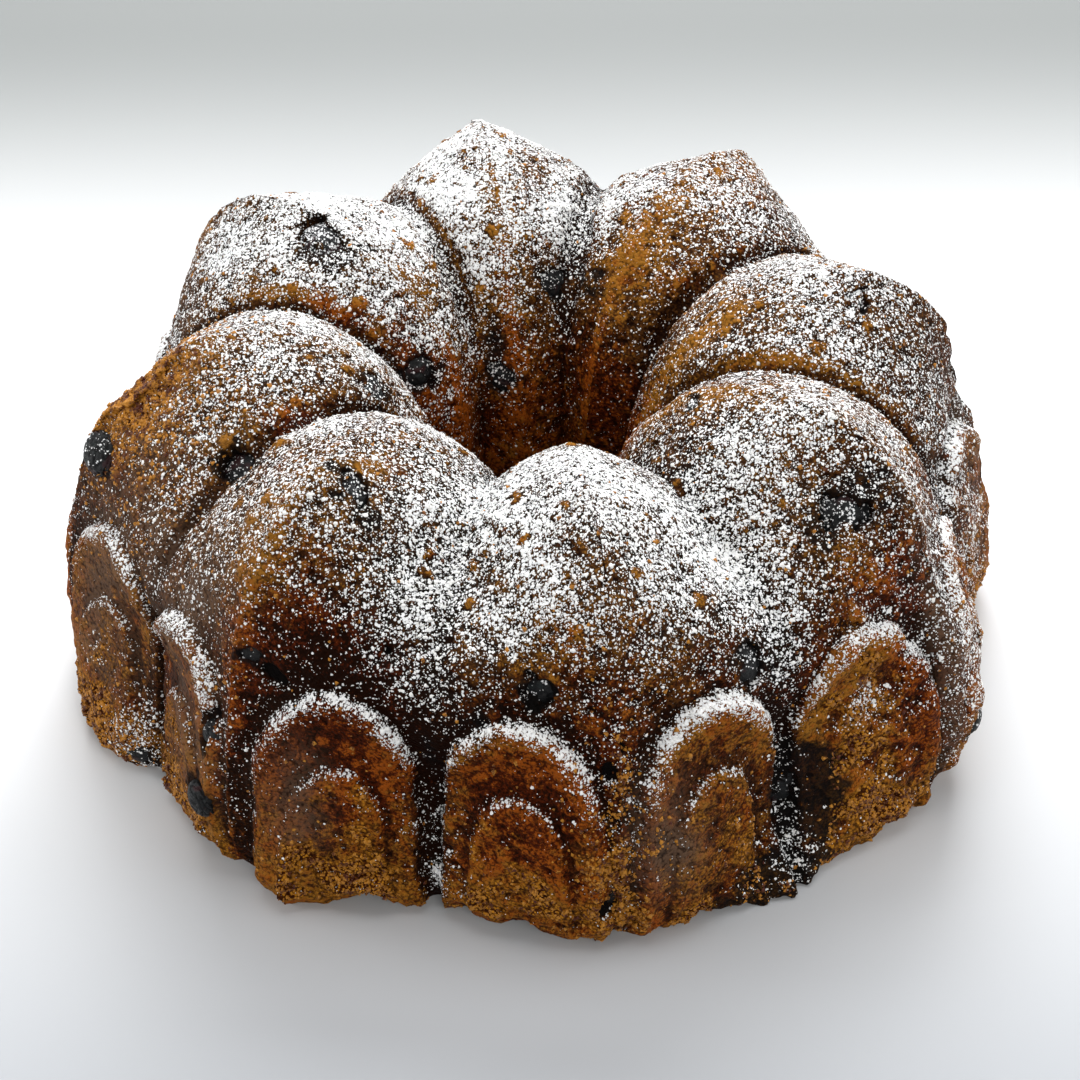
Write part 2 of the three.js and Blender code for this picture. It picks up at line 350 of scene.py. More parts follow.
def cast(lobe, place):
    """Points of the tin's cast, their share of an arch's rim and of its face, and their
    distance inside the outer arch."""
    index = np.round(lobe).astype(int)
    between = np.floor(lobe).astype(int)
    share = np.abs(lobe - index) * 2
    roundness = np.interp(place, FORM_AT, ROUND) * SOFTER[index % LOBES]
    share = (np.hypot(share, roundness) - roundness) / (np.hypot(1, roundness) - roundness)
    ridge, crease = along_curve(RIDGE, place), along_curve(CREASE, place)
    slope = along_curve(RIDGE, place + 0.05) - along_curve(RIDGE, place - 0.05)
    slope = slope / (np.linalg.norm(slope, axis=-1, keepdims=True) + 1e-12)
    crown = smooth(2.5, 4.5, place) * smooth(8.0, 6.5, place)
    wall = smooth(6.5, 7.8, place) * smooth(9.2, 8.3, place)
    lean = LEAN[index % LOBES] * smooth(4, 7, place) * smooth(11, 8.5, place)
    rise = RISE[index % LOBES] * smooth(3, 5, place) * smooth(9.5, 7.5, place)
    ridge = ridge + np.stack([lean, rise], -1)
    ridge = upright(ridge, index * LOBE_ANGLE + TURN[index % LOBES])
    fill, drop = CREASE_FILL[between % LOBES] * wall, -CREASE_DROP[between % LOBES] * crown
    crease = crease + np.stack([fill, drop], -1)
    crease = upright(crease, (between + 0.5) * LOBE_ANGLE + CREASE_TURN[between % LOBES])
    flank = crease - ridge
    points = ridge + flank * share[..., None]
    away = points[..., :2] / np.linalg.norm(points[..., :2], axis=-1, keepdims=True)
    bulge = np.interp(place, FORM_AT, BULGE) * 4 * share * (1 - share)
    outwards = np.concatenate([-slope[..., 1:] * away, slope[..., :1]], axis=-1)
    points = points + bulge[..., None] * outwards
    width = np.hypot(flank[..., 0], flank[..., 1])
    facing = np.stack([flank[..., 1], -flank[..., 0]], -1) / width[..., None]
    facing = facing * np.sign(np.sum(facing * away, axis=-1, keepdims=True))
    across = (share - 0.5) * width - ARCH_SHIFT + ARCH_WOBBLE * mottle(points, 14 * MM, 3)
    raised = points[..., 2] + ARCH_WOBBLE * mottle(points, 16 * MM, 4)
    outer, inside = arch_share(OUTER_ARCH, across, raised)
    inner, _ = arch_share(INNER_ARCH, across, raised)
    outside = place > OUTSIDE_FROM
    outer, inner = outer * outside, inner * outside
    step = OUTER_ARCH[4] * outer * STEP_SHARE[index % LOBES]
    step = step + INNER_ARCH[4] * inner * INNER_SHARE[index % LOBES]
    points[..., :2] += facing * step[..., None]
    rim = np.maximum(4 * outer * (1 - outer), 0.55 * 4 * inner * (1 - inner))
    face = outer + inner
    low = np.clip(1 - points[..., 2] / TUCK_HEIGHT, 0, 1)
    tuck = TUCK_DEPTH * (1 - np.sqrt(1 - low ** 2)) * outside
    points[..., :2] -= away * tuck[..., None]
    return points, rim, face, inside


# The cast is cut into rings of points. Each column of them is spread evenly along its own
# section, so the arches' ledges have as many as the walls.
COLUMNS = 1024
BANDS = ((0.0, 2.2, 70), (2.2, 7.2, 145), (7.2, 11.0, 146))
SMOOTHING = 3
lobe_of = np.arange(COLUMNS) * LOBES / COLUMNS
band_places = []
for low, high, rows in BANDS:
    dense = np.linspace(low, high, 5 * rows)
    sections = cast(*np.meshgrid(lobe_of, dense, indexing="ij"))[0]
    run = np.linalg.norm(np.diff(sections, axis=1), axis=2)
    run = np.concatenate([np.zeros((COLUMNS, 1)), np.cumsum(run, axis=1)], axis=1)
    run = run / run[:, -1:]
    run = sum(np.roll(run, k, axis=0) for k in range(-SMOOTHING, SMOOTHING + 1))
    run = run / (2 * SMOOTHING + 1)
    even = np.linspace(0, 1, rows + 1)
    places = np.stack([np.interp(even, one, dense) for one in run])
    band_places.append(places if high == SPANS else places[:, :-1])
place_of = np.concatenate(band_places, axis=1)
lobe_grid = np.repeat(lobe_of[:, None], place_of.shape[1], axis=1)
skin, rim, face, inside_arch = cast(lobe_grid, place_of)


def outward_of(points):
    """Unit normals of the whole ring of points, which closes on itself."""
    across = np.roll(points, -1, axis=0) - np.roll(points, 1, axis=0)
    normals = -np.cross(across, np.gradient(points, axis=1))
    return normals / (np.linalg.norm(normals, axis=-1, keepdims=True) + 1e-12)


# HOW THE CRUST BAKED. Batter lumps, burst bubbles and bits left in the tin make the cast
# uneven. The foot rose to a ragged edge, and where the crust broke, the open yellow crumb shows.
WALL_FROM = 8.2
SLIT_DEPTH = 1.8 * MM
FOOT_HEIGHT = 12 * MM
outward = outward_of(skin)
height = skin[..., 2]
on_wall = place_of > WALL_FROM
on_arch = np.minimum(face, 1)
on_inner_arch = smooth(1.1, 1.9, face)
from_ridge = np.abs(lobe_grid - np.round(lobe_grid)) * 2
from_crease = (1 - from_ridge) / 2 * LOBE_ANGLE * np.hypot(skin[..., 0], skin[..., 1])


def patch(lobe, place, wide, long):
    """1 in the middle of an oval patch of the crust and 0 outside it. Lobes are counted from
    the front ridge and places along the section, and wide and long are half sizes in them."""
    aside = (lobe_grid - lobe + LOBES / 2) % LOBES - LOBES / 2
    return np.exp(-(aside / wide) ** 2 - ((place_of - place) / long) ** 2)


def touched_up(values, rows):
    """Values with more or less of them in patches. The last number of a row is how much."""
    for lobe, place, wide, long, more in rows:
        values = values + more * patch(lobe, place, wide, long)
    return values


# Where two lobes meet, the crust is folded in a narrow groove. It is shallow in front.
front_side = smooth(1.4, 0.9, np.abs((lobe_grid + LOBES / 2) % LOBES - LOBES / 2))
fold_depth = (2.0 - 1.8 * front_side) * MM * smooth(2.6, 3.6, place_of) * smooth(8.6, 7.6, place_of)
fold_depth = fold_depth * (1 + 0.25 * mottle(skin, 12 * MM, 19))
fold = np.exp(-(from_crease / (1.9 * MM)) ** 2)

# Open crumb: the feet of the arches, and the front ridge where the crust tore from the tin.
crumb = smooth(27 * MM, 6 * MM, height) * on_wall * (0.45 + 0.7 * mottle(skin, 9 * MM, 11, 2))
crumb = crumb * (0.2 + 0.5 * on_arch + 0.45 * on_inner_arch)
crumb += 0.45 * on_inner_arch * (0.4 + 1.2 * mottle(skin, 6 * MM, 15, 2))
torn_ridge = patch(0.0, 9.9, 0.09, 0.9) * (0.5 + 0.7 * mottle(skin, 4 * MM, 12))
torn_shoulder = patch(5.99, 7.2, 0.23, 0.8) * (0.9 + 0.4 * mottle(skin, 5 * MM, 13))
broken = 0.8 * patch(0.7, 9.2, 0.12, 0.9) * (0.5 + 1.2 * mottle(skin, 4 * MM, 14, 2))
crumb = np.clip(crumb + torn_ridge + smooth(0.2, 0.6, torn_shoulder) + broken, 0, 1)
crumb = crumb * (1 - 0.85 * patch(0.13, 9.7, 0.08, 0.5)) * (1 - 0.7 * patch(7.18, 9.7, 0.05, 0.4))

# Soft unevenness, then small raised bits, beads of batter and burst bubbles.
nodules = pits(skin, 3.8 * MM, 0.08, 31)
beads = pits(skin, 2.3 * MM, 0.22, 36)
bubbles = pits(skin, 2.6 * MM, 0.16, 41)
relief = 0.7 * MM * mottle(skin, 17 * MM, 21) + 0.36 * MM * mottle(skin, 6 * MM, 22, 2)
relief += 0.28 * MM * mottle(skin, 1.7 * MM, 23)
relief += 0.55 * MM * nodules + 0.28 * MM * beads - 0.6 * MM * bubbles - fold_depth * fold
# The right wall and the whole foot are lumpier, and two places bulge.
rugged = np.exp(-((lobe_grid - 1.4) / 0.85) ** 4) * smooth(7.6, 8.4, place_of)
relief += rugged * (1.7 * MM * mottle(skin, 9 * MM, 25, 2) - 0.8 * MM * pits(skin, 4.5 * MM, 0.3, 52))
relief += 0.9 * MM * mottle(skin, 5 * MM, 26, 2) * smooth(16 * MM, 4 * MM, height) * on_wall
relief += MM * (5.0 * patch(1.12, 9.6, 0.2, 0.8) + 2.5 * patch(6.42, 10.5, 0.06, 0.5))
# Open crumb is rough and full of pits and tears. Crust is missing from two shoulders.
tears = smooth(0.55, 0.9, mottle(skin * [1, 1, 2.2], 7 * MM, 55, 2)) * crumb
crumb_pits = pits(skin, 2.2 * MM, 0.5, 51)
relief += crumb * (0.55 * MM * mottle(skin, 2.4 * MM, 24, 2) - 1.0 * MM * crumb_pits)
relief -= (1.5 * MM * patch(4.02, 6.9, 0.15, 0.4) + 1.3 * MM * tears
           + 2.6 * MM * smooth(0.1, 0.9, torn_shoulder) + 2.6 * MM * patch(5.95, 7.1, 0.4, 0.8))
# Slits and burst holes where the crust split over a berry or tore from the tin.
slits = np.zeros_like(height)
for lobe, place, wide, long in (
        (7.12, 8.53, 0.05, 0.09), (6.91, 9.28, 0.018, 0.26), (1.81, 6.47, 0.045, 0.1),
        (0.02, 8.86, 0.04, 0.07), (7.95, 9.02, 0.03, 0.09), (0.62, 4.22, 0.03, 0.1),
        (7.38, 7.68, 0.014, 0.07), (7.95, 10.35, 0.02, 0.16), (7.77, 8.22, 0.05, 0.16),
        (5.28, 2.9, 0.05, 0.5), (0.0, 9.7, 0.012, 0.12), (2.6, 8.3, 0.03, 0.1)):
    slits = np.maximum(slits, patch(lobe, place, wide, long))
slits = smooth(0.35, 0.75, slits + 0.35 * mottle(skin, 3.0 * MM, 57, 2))
relief -= SLIT_DEPTH * slits
skin = skin + outward * relief[..., None]

# The ragged foot: its edge lifts off the table in places, and flares out in others.
lifted = 0.6 * patch(7.68, 11, 0.16, 1) + patch(7.34, 11, 0.05, 1) + 0.9 * patch(6.92, 11, 0.13, 1)
foot_lift = np.clip(2.6 * MM * mottle(skin[:, -1], 13 * MM, 61, 2) - 0.2 * MM, 0, 3.4 * MM)
foot_lift += 5.0 * MM * lifted[:, -1]
sink = np.clip(1 - height / FOOT_HEIGHT, 0, 1)
near_foot = (place_of > 9) | (place_of < 1)
skin[..., 2] = np.where(near_foot, skin[..., 2] + foot_lift[:, None] * sink, skin[..., 2])
skin[..., 2] = np.maximum(skin[..., 2], 0.0)
flare = patch(7.14, 11, 0.05, 1.2) + patch(0.72, 11, 0.22, 1) + patch(0.4, 11, 0.12, 0.35)
flare = 4.5 * MM * flare
flare += MM * (6.5 * patch(6.28, 11, 0.15, 0.9) + 7.0 * patch(0.51, 11, 0.08, 0.5))
skin[..., :2] *= (1 + flare / np.hypot(skin[..., 0], skin[..., 1]))[..., None]

# THE BERRY POCKETS. Whole blueberries sank to the tin's wall, so the crust is thin or open
# over them. Each pocket is a ragged hole in the crust with a stained rim.
# Lobe and section place of the berries that show best. The others stay where the solid's are.
SEATS = {
    "01": (5.17, 5.3), "02": (6.32, 4.05), "03": (5.32, 3.0), "04": (4.34, 2.27),
    "05": (6.49, 6.64), "06": (7.18, 6.22), "07": (6.09, 8.16), "08": (7.06, 8.42),
    "09": (7.77, 8.15), "10": (6.9, 9.32), "11": (6.9, 9.98), "12": (6.42, 10.6),
    "13": (3.56, 3.76), "14": (0.8, 4.45), "15": (0.8, 7.25), "16": (1.83, 6.3),
    "17": (0.41, 8.06), "18": (0.52, 9.86), "19": (1.09, 10.1), "20": (7.96, 10.3)}
# How far a berry stands out of the crust, and how flat the tin pressed them all.
USUAL_PROUD = -0.1 * MM
PROUD = {"07": 2.8 * MM, "11": 2.2 * MM, "12": 0.8 * MM, "15": -0.7 * MM, "18": 0.3 * MM,
         "19": 1.4 * MM, "25": 1.0 * MM}
FLATNESS = 0.62
# How wide each opening is round the ring and along the section, as a share of the usual.
OPENING = {"01": (1.5, 1.3), "05": (1.3, 0.9), "06": (0.6, 1.3), "08": (1.1, 0.5),
           "09": (0.6, 0.8), "10": (0.35, 1.2), "11": (1.2, 1.1), "14": (0.7, 0.5),
           "15": (1.3, 0.8), "16": (0.9, 0.2), "17": (0.6, 1.1), "18": (0.7, 0.8),
           "20": (0.4, 1.2)}
# The usual opening as a share of a berry's half width, how ragged its edge is, how far the
# pocket's floor lies under the berry's skin, and how far the juice spreads.
USUAL_OPENING, RAGGEDNESS = 0.7, 1.35
UNDER_SKIN, STAIN_REACH = 0.5 * MM, 2.6 * MM

berries = []
outward = outward_of(skin)
stain = smooth(0.1, 0.8, slits)
bare = np.zeros_like(height)
for name in sorted(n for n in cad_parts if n.startswith("berry_")):
    low, high = (np.array(corner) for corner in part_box(name))
    size = float(np.max(high - low)) / 2
    number = name[-2:]
    if number in SEATS:
        column = int(round(SEATS[number][0] * COLUMNS / LOBES)) % COLUMNS
        row = int(np.argmin(np.abs(place_of[column] - SEATS[number][1])))
    else:
        gap = np.linalg.norm(skin - (low + high) / 2, axis=-1)
        column, row = np.unravel_index(np.argmin(gap), gap.shape)
    seat = skin[column, row]
    span = np.linalg.norm(skin - seat, axis=-1)
    axis = np.mean(outward[span < 0.9 * size], axis=0)
    axis = axis / np.linalg.norm(axis)
    centre = seat - axis * (FLATNESS * size - PROUD.get(number, USUAL_PROUD))
    berries.append((name, centre, size, axis))
    near = span < 3.5 * size
    here = skin[near] - centre
    out = here @ axis
    aside = np.linalg.norm(here - out[:, None] * axis, axis=-1)
    round_ring = np.cross([0.0, 0.0, 1.0], axis)
    round_ring = round_ring / np.linalg.norm(round_ring)
    wide, long = OPENING.get(number, (1.0, 1.0))
    from_middle = np.hypot(here @ round_ring / wide, here @ np.cross(axis, round_ring) / long)
    ragged = mottle(skin[near], 4.5 * MM, 71) * 0.45 + mottle(skin[near], 1.8 * MM, 73) * 0.35
    edge = size * (USUAL_OPENING + ragged * RAGGEDNESS)
    outer_half = out > -0.5 * size
    inside = smooth(0.35 * MM, -0.35 * MM, from_middle - edge) * (aside < 0.97 * size) * outer_half
    berry_top = FLATNESS * np.sqrt(np.maximum(size ** 2 - aside ** 2, 0))
    drop = np.minimum(berry_top - UNDER_SKIN - out, 0) * inside
    skin[near] += axis * drop[:, None]
    stained = np.exp(-(np.maximum(from_middle - edge, 0) / STAIN_REACH) ** 2) * outer_half
    stained = stained * (0.75 + 0.5 * mottle(skin[near], 2.5 * MM, 72))
    stain[near] = np.maximum(stain[near], stained)
    bare[near] = np.maximum(bare[near], inside)
# Juice soaked in around some of them, and the foot below the front lobe's right crease is
# darkened almost to black. The last number of a row is how dark it is.
juice_mottle = 1 + 0.6 * mottle(skin, 3.5 * MM, 74, 2)
for lobe, place, wide, long, more in (
        (0.8, 7.25, 0.2, 0.35, 0.95), (6.29, 3.9, 0.12, 0.45, 0.7), (4.34, 2.6, 0.13, 0.8, 0.8),
        (0.51, 9.8, 0.08, 0.5, 0.9), (0.57, 9.9, 0.08, 0.6, 1.9), (0.45, 10.95, 0.16, 0.45, 2.4),
        (0.42, 8.06, 0.12, 0.32, 0.7), (7.62, 8.3, 0.12, 0.25, 0.6), (5.12, 5.15, 0.08, 0.2, 0.9),
        (5.24, 5.45, 0.08, 0.2, 0.9), (7.18, 6.25, 0.07, 0.45, 0.7), (7.2, 9.6, 0.07, 0.35, 0.42),
        (0.13, 9.7, 0.07, 0.4, 0.42), (7.5, 8.7, 0.05, 0.6, 0.5)):
    stain = np.maximum(stain, more * patch(lobe, place, wide, long) * juice_mottle)
outward = outward_of(skin)

# THE DUSTING. Icing sugar was sieved from above over the cool cake. It lies thickest on the
# crown and on the arches' ledges, thins out down the walls, and is gone from raised bits.
# Share of the crust it hides, by how much the crust faces up.
FACES_UP = (-1.0, 0.0, 0.1, 0.28, 0.42, 0.58, 0.72, 0.85, 1.0)
COVERED = (0.0, 0.02, 0.06, 0.12, 0.18, 0.29, 0.44, 0.55, 0.65)
# Painted shade: how dark and grey the crust is painted between the sugar grains, by lobe.
SHADE_UNDER_DUST = np.array([0.95, 0.8, 0.85, 0.6, 0.75, 0.95, 0.95, 1.0])
# How much more or less lies on each lobe's inner side, crest and shoulder, front lobe first.
DUST_INNER = np.array([0.5, 0.4, 0.5, 0.15, 0.85, 1.4, 1.0, 1.2])
DUST_CREST = np.array([1.12, 0.62, 0.66, 0.6, 1.15, 1.15, 0.62, 0.6])
DUST_SHOULDER = np.array([0.85, 0.75, 0.85, 1.0, 1.2, 1.05, 0.35, 0.5])
# How thick it lies on each lobe's arches, and the most crust that it hides anywhere.
DUST_ARCH = np.array([0.9, 0.65, 0.3, 0.8, 0.8, 0.8, 0.5, 0.9])
DUST_MOST = 0.88


def by_lobe(values):
    """A value for each lobe, which changes softly from one ridge to the next."""
    start = np.floor(lobe_grid).astype(int)
    part = smooth(0, 1, lobe_grid - start)
    return values[start % LOBES] * (1 - part) + values[(start + 1) % LOBES] * part


inner_side = smooth(4.8, 3.8, place_of)
shoulder = smooth(6.6, 7.6, place_of) * smooth(9.2, 8.2, place_of)
amount = by_lobe(DUST_CREST) * (1 - inner_side) * (1 - shoulder)
amount += by_lobe(DUST_INNER) * inner_side + by_lobe(DUST_SHOULDER) * shoulder
amount = np.where(place_of > 8.7, 1 + (amount - 1) * 0.3, amount)
amount = amount * (1 + 0.9 * smooth(9 * MM, 2 * MM, from_crease) * smooth(7.4, 8.2, place_of))
dust = np.interp(outward[..., 2], FACES_UP, COVERED) * amount
dust = dust * (1 + 0.45 * mottle(skin, 14 * MM, 81, 2))
dust = dust * (1 - 0.9 * smooth(0.1, 0.5, nodules)) * (1 - 0.3 * smooth(0.2, 0.6, beads))
dust = dust * (1 - 0.5 * crumb) * (1 - 0.6 * fold * smooth(0.5, 2.5, fold_depth / MM))
# It is heaped on the arches' ledges, and some fell from them onto the top of each face.
heap = patch(7.5, 10.35, 0.018, 0.16)
ledge = rim * smooth(0.3, 0.7, outward[..., 2]) * (0.7 + 0.9 * mottle(skin, 2.4 * MM, 82, 2))
ledge = ledge * by_lobe(DUST_ARCH) * (1 - 0.5 * patch(6.82, 9.0, 0.12, 1.5))
fallen = smooth(5.5 * MM, 1.0 * MM, inside_arch) * (inside_arch > 0) * smooth(34 * MM, 54 * MM, height)
outside = place_of > OUTSIDE_FROM
dust += 0.38 * fallen * by_lobe(DUST_ARCH) * outside * (0.8 + 0.8 * mottle(skin, 4 * MM, 83, 2))
dust -= 0.07 * on_arch * (1 - fallen)
# Places where more fell, and then places where more or less fell by a share of what is there.
flurry = 0.16 * patch(1.35, 9.3, 0.35, 1.3) * (0.7 + 1.3 * mottle(skin, 4 * MM, 84, 2))
dust = touched_up(dust + flurry, (
    (0.72, 9.15, 0.035, 0.2, 0.35), (4.46, 5.0, 0.1, 1.3, 0.32), (6.42, 10.6, 0.06, 0.45, 0.5),
    (3.56, 4.8, 0.09, 1.0, 0.35), (1.08, 9.4, 0.1, 1.2, 0.13), (1.66, 9.3, 0.14, 1.2, 0.16)))
for lobe, place, wide, long, more in (
        (7.76, 9.6, 0.14, 1.0, -0.85), (5.35, 3.2, 0.1, 0.9, -0.6), (4.88, 2.2, 0.12, 0.9, -0.7),
        (5.02, 7.9, 0.14, 0.9, -0.75), (1.5, 8.6, 0.08, 1.4, -0.55), (3.0, 4.0, 0.25, 1.0, -0.8),
        (4.08, 4.8, 0.09, 0.6, -0.65), (0.5, 8.8, 0.05, 0.9, 1.2), (6.0, 7.3, 0.16, 0.9, -0.7),
        (6.45, 5.4, 0.08, 0.8, -0.5), (7.22, 8.2, 0.14, 0.8, -0.45), (0.95, 4.5, 0.22, 0.8, -0.45),
        (1.85, 3.8, 0.12, 0.8, -0.5), (7.38, 7.0, 0.06, 0.5, 0.3), (7.63, 6.9, 0.07, 0.5, 0.25),
        (0.45, 6.7, 0.1, 0.6, 0.25), (4.47, 4.8, 0.02, 1.9, -0.85), (4.15, 6.9, 0.1, 0.35, -0.7),
        (5.17, 5.3, 0.12, 0.4, -0.55), (4.34, 5.0, 0.08, 1.0, 0.5), (7.24, 6.6, 0.12, 1.2, -0.35),
        (5.45, 5.2, 0.04, 1.2, -0.5), (1.54, 5.0, 0.04, 1.2, -0.6), (7.0, 8.0, 0.06, 1.2, -0.3)):
    dust = dust * (1 + more * patch(lobe, place, wide, long))
dust = np.clip(np.maximum(dust, 0.85 * np.maximum(ledge, heap)), 0, DUST_MOST)
dust = dust * smooth(0.4, 2.2, place_of) * (1 - 0.2 * bare) * (1 - 0.85 * slits)
dust = dust * (1 - 0.5 * np.clip(stain, 0, 1)) * (1 - 0.2 * patch(0.5, 10.2, 0.12, 0.7))
skin = skin + outward * (0.3 * MM * ledge + 1.2 * MM * heap)[..., None]

# THE CRUST. Baked butter crust, matt and grainy, from dark brown in the creases, partly painted
# shade, to gold on thin edges. It is made as pieces that meet edge to edge: crown and wall, each
# in a front and a back half, then the hole, and last the underside.
CRUST_DARK = srgb(24, 6, 0)
CRUST_RED = srgb(76, 26, 4)
CRUST_BROWN = srgb(77, 45, 16)
CRUST_ORANGE = srgb(150, 75, 18)
CRUST_GOLD = srgb(152, 101, 33)
CRUST_PALE_SHEEN = srgb(102, 78, 61)
CRUMB_YELLOW = srgb(188, 126, 36)
CRUMB_PIT = srgb(56, 12, 2)
BERRY_STAIN = srgb(13, 12, 12)
SHADE_UNDER_SUGAR = srgb(27, 28, 24)
SUGAR_WHITE = srgb(250, 251, 252)

# How brown the crust is, with painted shade in it: 0 is dark and 1 golden. Creases are darker,
# partly painted shade, and the flanks and arches that touched thinner batter are golden.
toast_and_shade = 0.4 + 0.22 * mottle(skin, 22 * MM, 91, 2) + 0.12 * mottle(skin, 4 * MM, 92)
toast_and_shade += 0.15 * (smooth(0.8, 0.1, from_ridge) - 0.5) + 0.4 * nodules + 0.08 * beads
toast_and_shade -= (0.2 - 0.16 * on_arch) * smooth(7.4, 8.6, place_of)
toast_and_shade += 0.24 * on_arch + 0.2 * smooth(3.6, 2.0, place_of)
# Painted shade: on the wall the crust is darker within a few millimetres of each crease.
toast_and_shade -= 0.45 * smooth(7 * MM, 1 * MM, from_crease) * (place_of > 7.6)
# Some patches are partly painted shade and light: the front left and front right lobes are darker on
# the flanks that face the front lobe.
toast_and_shade = touched_up(toast_and_shade, (
    (5.98, 7.4, 0.16, 0.8, 0.35), (6.9, 6.9, 0.09, 0.7, 0.45), (7.0, 8.1, 0.05, 0.8, 0.3),
    (7.03, 7.3, 0.05, 0.9, 0.45), (6.08, 6.4, 0.12, 0.6, 0.3), (7.22, 8.3, 0.17, 0.9, -0.55),
    (4.05, 4.96, 0.05, 0.25, 0.7), (3.88, 4.37, 0.07, 0.35, 0.6), (3.05, 4.2, 0.2, 0.9, 0.62),
    (3.1, 2.4, 0.1, 1.2, 0.5), (2.9, 5.04, 0.05, 0.2, 0.8), (1.85, 4.0, 0.08, 0.6, 0.7),
    (1.77, 3.0, 0.1, 1.0, 0.6), (0.95, 3.4, 0.22, 0.7, 0.6), (0.95, 4.6, 0.2, 0.7, 0.3),
    (4.83, 3.7, 0.12, 0.5, 0.5), (5.42, 4.72, 0.05, 0.2, 0.6), (6.47, 5.5, 0.07, 0.5, 0.3),
    (7.28, 8.8, 0.1, 0.3, 0.35), (7.75, 8.8, 0.14, 0.35, 0.45), (0.66, 8.8, 0.1, 0.5, 0.4),
    (0.77, 8.15, 0.06, 0.3, 0.5), (7.16, 4.88, 0.05, 0.15, 0.7), (4.47, 4.8, 0.02, 1.8, 0.6),
    (4.88, 2.2, 0.1, 0.9, 0.45), (7.3, 9.1, 0.1, 0.6, 0.3), (4.15, 6.9, 0.1, 0.35, 0.3),
    (4.1, 3.4, 0.14, 0.9, 0.25), (5.35, 3.2, 0.08, 0.9, 0.2), (5.02, 7.9, 0.14, 0.9, 0.3),
    (5.92, 7.3, 0.08, 0.5, 0.3), (5.45, 5.2, 0.03, 1.2, 0.7), (1.54, 5.0, 0.03, 1.3, 0.95),
    (6.0, 7.3, 0.2, 1.0, 0.3), (7.19, 5.7, 0.06, 0.3, 0.4), (0.1, 8.0, 0.1, 0.6, 0.1),
    (0.9, 7.6, 0.12, 0.7, -0.35), (0.89, 9.2, 0.07, 0.9, -0.15), (7.4, 7.2, 0.12, 1.0, -0.3),
    (0.85, 9.6, 0.15, 1.0, -0.2), (4.08, 1.6, 0.4, 1.0, 0.25)))
toast_and_shade = toast_and_shade + 0.35 * crumb + 0.25 * fallen * outside
# Parts of the wall are paler and greyer: partly the crust's own tone, partly a painted sheen of light.
pale_sheen = np.zeros_like(height)
for lobe, place, wide, long, more in (
        (6.3, 8.0, 0.26, 1.0, 0.9), (6.7, 8.0, 0.2, 1.0, 0.9), (6.78, 9.4, 0.14, 0.8, 0.8),
        (6.25, 9.2, 0.16, 1.2, 0.7), (1.13, 8.8, 0.08, 1.4, 0.7), (7.18, 9.6, 0.07, 0.5, 0.9),
        (0.13, 9.7, 0.09, 0.5, 1.0), (5.4, 8.5, 0.5, 1.5, 0.5), (3.5, 8.8, 0.6, 1.2, 0.4),
        (1.8, 9.2, 0.3, 1.2, 0.5), (0.98, 9.2, 0.045, 1.3, 0.9)):
    pale_sheen = np.maximum(pale_sheen, more * patch(lobe, place, wide, long))
pale_sheen = pale_sheen * (1 + 0.5 * mottle(skin, 8 * MM, 93, 2))
# How red its brown is: most in the hole and low on the wall.
red = 0.12 + 0.25 * mottle(skin, 11 * MM, 94, 2) + 0.6 * smooth(3.6, 2.2, place_of) - 0.35 * crumb
red += (0.5 - 0.12 * on_arch) * smooth(7.2, 8.8, place_of)
red = touched_up(red, (
    (4.1, 3.4, 0.16, 0.9, 0.5), (5.35, 3.2, 0.08, 0.9, 0.5), (0.89, 9.2, 0.06, 0.9, 0.6),
    (7.22, 8.3, 0.17, 0.9, 0.6), (0.0, 9.6, 0.12, 1.0, 0.5), (7.75, 9.0, 0.16, 0.8, 0.4),
    (7.37, 7.9, 0.1, 0.4, 0.4), (4.88, 2.2, 0.1, 0.9, 0.8), (6.49, 5.57, 0.06, 0.5, 0.7),
    (0.85, 8.4, 0.1, 0.6, 0.3), (5.3, 3.0, 0.3, 1.2, 0.5), (3.05, 4.2, 0.25, 0.9, 0.1),
    (7.3, 9.2, 0.12, 0.7, 0.4), (5.45, 4.6, 0.04, 0.8, 0.6)))


def sugar_over(wire, spot, cover):
    """Where the powder hides what is under it: clumps of two sizes, more where cover is high."""
    wobble = wire.node("TexNoise", {}, {"Vector": spot, "Scale": 1 / (0.45 * MM), "Detail": 1.0}, 1)
    bend = 0.4 * MM
    settings = {"operation": "MULTIPLY_ADD"}
    spot = wire.node("VectorMath", settings, {0: wobble, 1: (bend, bend, bend), 2: spot})
    uncovered = 1.0
    for size in (0.8 * MM, 0.46 * MM):
        away = wire.node("TexVoronoi", {}, {"Vector": spot, "Scale": 1 / size})
        chance = wire.node("SeparateColor", {}, {0: away.also(1)})
        reach = 0.44 + cover * 0.26
        clump = (reach - away).step(0.0, 0.1) * (cover - chance).step(0.0, 0.015)
        uncovered = (1 - clump) * uncovered
    return 1 - uncovered


crust_paint, shader, wire = new_material("baked_crust", {"Specular IOR Level": 0.04})
spot = wire.node("TexCoord", out=3)
painted = wire.node("Attribute", {"attribute_name": "bake_and_shade"})
dust_wire = wire.node("SeparateColor", {}, {0: painted})
toast_and_shade_wire, crumb_wire = dust_wire.also(1), dust_wire.also(2)
stain_wire = painted.also(3)
tint = wire.node("Attribute", {"attribute_name": "tint"})
pale_sheen_wire = wire.node("SeparateColor", {}, {0: tint})
red_wire, sugar_shade_wire = pale_sheen_wire.also(1), pale_sheen_wire.also(2)
blotch = wire.noise(spot, 2.6 * MM, 3.0, 0.65)
grain = wire.noise(spot, 0.75 * MM, 2.0, 0.6)
fine = wire.noise(spot, 0.32 * MM, 1.0, 0.5)
kernel = wire.node("TexVoronoi", {}, {"Vector": spot, "Scale": 1 / (0.85 * MM)})
redness = (red_wire + (wire.noise(spot, 2.2 * MM, 3.0, 0.6) - 0.5) * 1.6).step(0.1, 0.9)
